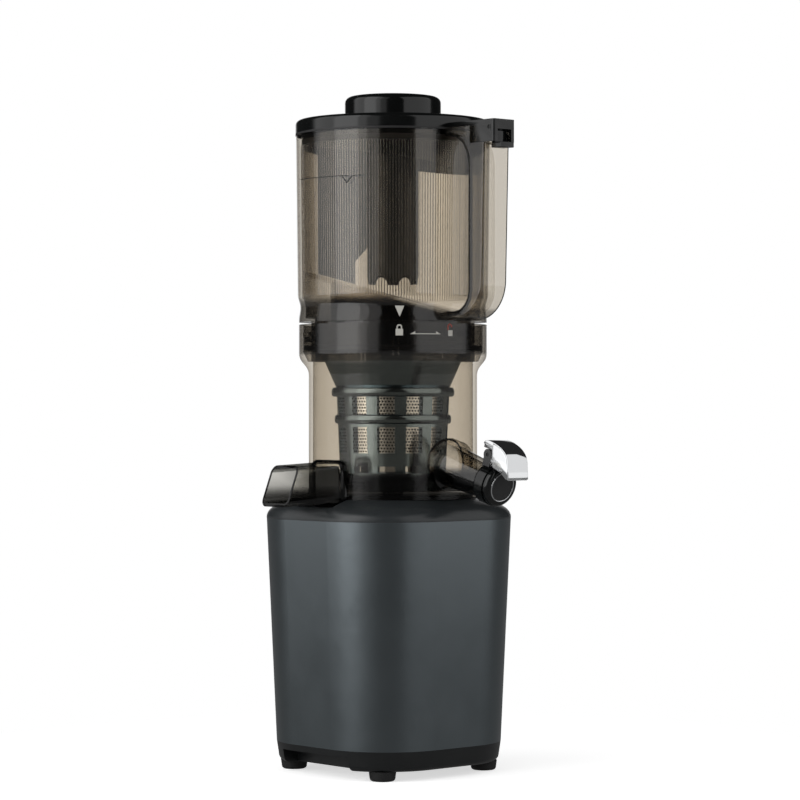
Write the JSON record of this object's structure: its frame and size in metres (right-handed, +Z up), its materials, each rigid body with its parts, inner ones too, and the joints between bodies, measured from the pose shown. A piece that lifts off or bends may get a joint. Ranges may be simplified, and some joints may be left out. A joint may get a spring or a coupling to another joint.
{
  "type": "cold press juicer",
  "caption": "Upright slow juicer: tapered motor base, clear bowl with strainer and auger, juice spout with lever cap, pulp spout, tall ribbed hopper with handle, lid and food pusher.",
  "frame": {"origin": "middle of the product's outline in plan, on the surface it stands on", "axes": "+Z up, -Y the front where the juice spout and the handle point, -X the side where the pulp spout points"},
  "size_m": [0.2196, 0.231, 0.524],
  "materials": {
    "base_grey": "satin dark grey with a fine metallic grain",
    "black_plastic": "polished black moulded plastic",
    "matte_black": "fine-textured black moulded plastic",
    "clear_tint": "smoky brown-grey clear plastic, polished",
    "rubber_black": "matt black rubber",
    "silicone": "dark silicone",
    "silicone_grey": "dark grey silicone",
    "chrome": "polished chrome plating",
    "steel": "machined steel",
    "mesh_steel": "perforated stainless sheet",
    "strainer_grey": "polished dark grey moulded plastic",
    "auger_black": "satin black moulded plastic",
    "aluminium": "cast and machined",
    "copper": "enamelled copper wire",
    "board": "green circuit board",
    "nylon": "moulded nylon"
  },
  "bodies": {
    "base": {"body_sleeve": "base_grey", "top_shell": "black_plastic", "bottom_tray": "matte_black", "front_right_foot": "rubber_black", "front_left_foot": "rubber_black", "rear_left_foot": "rubber_black", "rear_right_foot": "rubber_black", "tray_screws": "steel", "control_board": "board", "power_inlet": "matte_black", "dial_switch": "matte_black", "dial_bezel": "black_plastic", "motor_stand": "aluminium", "motor_can": "steel", "motor_stator": "steel", "stator_windings": "copper", "gear_plate": "aluminium", "gearbox_housing": "aluminium", "gearbox_screws": "steel", "output_bearing": "steel", "shaft_seal": "rubber_black"},
    "rotor": {"motor_rotor": "steel", "motor_shaft": "steel", "cooling_fan": "nylon"},
    "countershaft": {"counter_gear": "nylon", "counter_shaft": "steel"},
    "drive": {"output_gear": "steel", "drive_shaft": "steel"},
    "dial": {"control_dial": "black_plastic"},
    "bowl": {"bowl": "clear_tint", "bowl_seal": "silicone", "juice_spout": "clear_tint", "spout_ring": "silicone", "cap_body": "black_plastic", "lever_pin": "steel", "pulp_spout": "clear_tint", "strainer_frame": "strainer_grey", "strainer_mesh": "mesh_steel"},
    "lever": {"cap_lever": "chrome", "cap_gate": "black_plastic", "gate_face": "silicone_grey", "gate_seal": "silicone"},
    "auger": {"auger": "auger_black", "auger_shaft": "steel"},
    "hopper": {"hopper_body": "clear_tint", "hopper_gasket": "silicone", "hopper_handle": "clear_tint"},
    "lid": {"lid": "black_plastic", "lid_gasket": "silicone", "lid_arm": "black_plastic", "latch_pin": "steel", "feed_tube": "strainer_grey"},
    "latch": {"lid_latch": "black_plastic"},
    "plunger": {"plunger_stem": "matte_black", "plunger_knob": "black_plastic"}
  },
  "joints": [
    {"name": "bowl_lift", "type": "slide", "parent": "base", "child": "bowl", "axis": [0, 0, 1], "range_m": [0, 0.06]},
    {"name": "hopper_turn", "type": "hinge", "parent": "bowl", "child": "hopper", "pos_m": [0.00965, 0.02546, 0.3485], "axis": [0, 0, 1], "range_deg": [0, 31]},
    {"name": "lid_lift", "type": "slide", "parent": "hopper", "child": "lid", "axis": [0, 0, 1], "range_m": [0, 0.13]},
    {"name": "plunger_lift", "type": "slide", "parent": "lid", "child": "plunger", "axis": [0, 0, 1], "range_m": [0, 0.13]},
    {"name": "latch_press", "type": "hinge", "parent": "lid", "child": "latch", "pos_m": [0.00965, -0.09514, 0.4922], "axis": [-1, 0, 0], "range_deg": [0, 12], "stiffness_Nm_per_rad": 0.05},
    {"name": "lever_flip", "type": "hinge", "parent": "bowl", "child": "lever", "pos_m": [0.00965, -0.09179, 0.24727], "axis": [-1, 0, 0], "range_deg": [0, 90]},
    {"name": "rotor_spin", "type": "hinge", "parent": "base", "child": "rotor", "pos_m": [0.00965, 0.02546, 0.035], "axis": [0, 0, 1], "continuous": true},
    {"name": "counter_spin", "type": "hinge", "parent": "base", "child": "countershaft", "pos_m": [0.00965, -0.00454, 0.103], "axis": [0, 0, 1], "continuous": true},
    {"name": "drive_spin", "type": "hinge", "parent": "base", "child": "drive", "pos_m": [0.00965, 0.02546, 0.151], "axis": [0, 0, 1], "continuous": true},
    {"name": "auger_spin", "type": "hinge", "parent": "bowl", "child": "auger", "pos_m": [0.00965, 0.02546, 0.218], "axis": [0, 0, 1], "continuous": true},
    {"name": "dial_turn", "type": "hinge", "parent": "base", "child": "dial", "pos_m": [0.09385, 0.03046, 0.112], "axis": [1, 0, 0], "range_deg": [-45, 45]}
  ],
  "couplings": [
    {"joint": "counter_spin", "follows": "rotor_spin", "ratio": -0.25},
    {"joint": "drive_spin", "follows": "rotor_spin", "ratio": 0.0625},
    {"joint": "auger_spin", "follows": "rotor_spin", "ratio": 0.0625}
  ]
}
